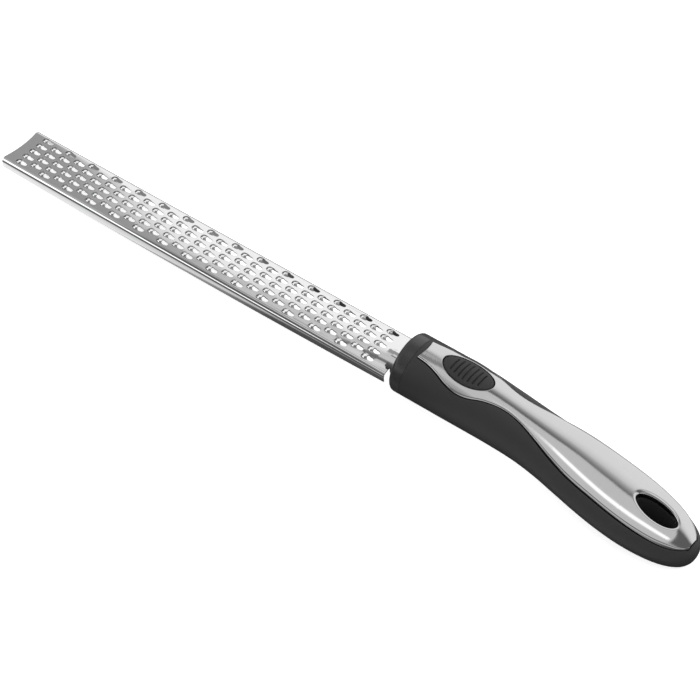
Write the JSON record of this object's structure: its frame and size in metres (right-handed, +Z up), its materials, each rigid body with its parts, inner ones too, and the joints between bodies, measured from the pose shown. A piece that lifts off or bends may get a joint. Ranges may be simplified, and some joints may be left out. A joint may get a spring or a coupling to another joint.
{
  "type": "rasp grater",
  "caption": "Hand-held rasp grater: a narrow toothed steel channel blade set in a soft-grip handle with a brushed steel spine, an oval ridged thumb pad and a hanging hole",
  "frame": {"origin": "on the surface that the grater lies on, under the middle of its bounding box", "axes": "+X along the tool from the blade's tip to the handle's tail, +Y to the far side of the picture, +Z up with the teeth facing up"},
  "size_m": [0.3354, 0.0312, 0.0306],
  "materials": {
    "polished_steel": "polished stainless sheet",
    "brushed_spine": "steel brushed across its length",
    "plain_steel": "plain turned steel",
    "soft_grip": "matt soft-touch black",
    "hard_black": "satin black moulding",
    "core_grey": "plain dark moulding"
  },
  "bodies": {
    "root": {"grater_blade": "polished_steel", "front_collar": "hard_black", "grip_sleeve": "soft_grip", "core_upper": "core_grey", "core_lower": "core_grey", "spine_plate": "brushed_spine", "thumb_pad": "soft_grip", "hang_hole_liner": "hard_black", "tang_pin_1": "plain_steel", "tang_pin_2": "plain_steel", "plate_screw_1": "plain_steel", "plate_screw_2": "plain_steel", "plate_screw_3": "plain_steel"}
  },
  "joints": []
}
